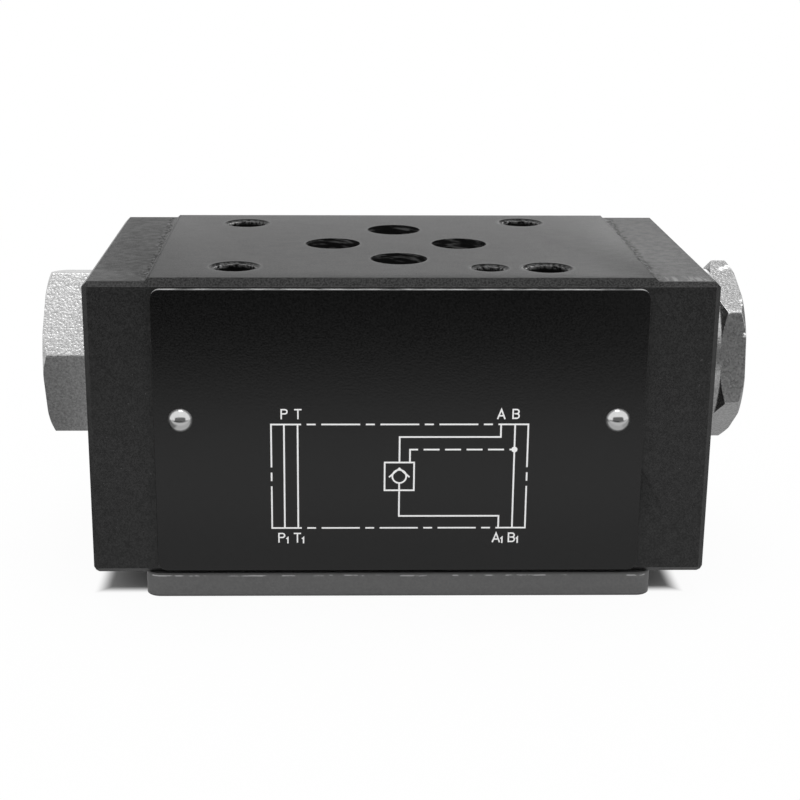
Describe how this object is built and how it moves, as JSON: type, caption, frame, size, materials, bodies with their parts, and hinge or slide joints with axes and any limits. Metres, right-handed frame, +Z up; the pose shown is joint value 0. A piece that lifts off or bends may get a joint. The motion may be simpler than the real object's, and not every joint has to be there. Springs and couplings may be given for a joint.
{
  "type": "hydraulic sandwich valve",
  "caption": "Sandwich-mounted pilot-operated check valve: black iron block with ports and bolt holes, a hexagon plug at each end, a front nameplate and a seal plate below.",
  "frame": {"origin": "on the underside of the seal plate, midway between the port A and port B columns", "axes": "+Z up to the upper mounting face, +X from port A to port B along the bore, +Y from port P to port T"},
  "size_m": [0.0949, 0.0483, 0.0429],
  "materials": {
    "black_iron": "black phosphated iron, milled faces, satin",
    "grey_steel": "smooth grey steel, satin",
    "zinc_steel": "zinc plated steel, grainy",
    "bright_steel": "ground steel",
    "rivet_metal": "bright plated",
    "black_anodised": "black anodised, satin",
    "rubber": "nitrile rubber, satin"
  },
  "bodies": {
    "housing": {"valve_body": "black_iron", "seal_plate": "grey_steel", "body_seal_p": "rubber", "body_seal_t": "rubber", "body_seal_a": "rubber", "body_seal_b": "rubber", "plate_seal_p": "rubber", "plate_seal_t": "rubber", "plate_seal_a": "rubber", "plate_seal_b": "rubber", "plate_screw_left": "bright_steel", "plate_screw_right": "bright_steel", "nameplate": "black_anodised", "rivet_left": "rivet_metal", "rivet_right": "rivet_metal", "check_plug": "zinc_steel", "check_plug_seal": "rubber", "check_spring": "bright_steel", "valve_seat": "bright_steel", "pilot_plug": "zinc_steel", "pilot_plug_seal": "rubber"},
    "piston": {"pilot_piston": "bright_steel"},
    "poppet": {"check_poppet": "bright_steel"}
  },
  "joints": [
    {"name": "piston_slide", "type": "slide", "parent": "housing", "child": "piston", "axis": [-1, 0, 0], "range_m": [0, 0.0018], "stiffness_N_per_m": 6500, "springref_m": -0.001, "deforming": ["check_spring"]},
    {"name": "poppet_lift", "type": "slide", "parent": "piston", "child": "poppet", "axis": [-1, 0, 0], "range_m": [0, 0.0025], "stiffness_N_per_m": 6500, "springref_m": -0.001, "deforming": ["check_spring"]}
  ]
}
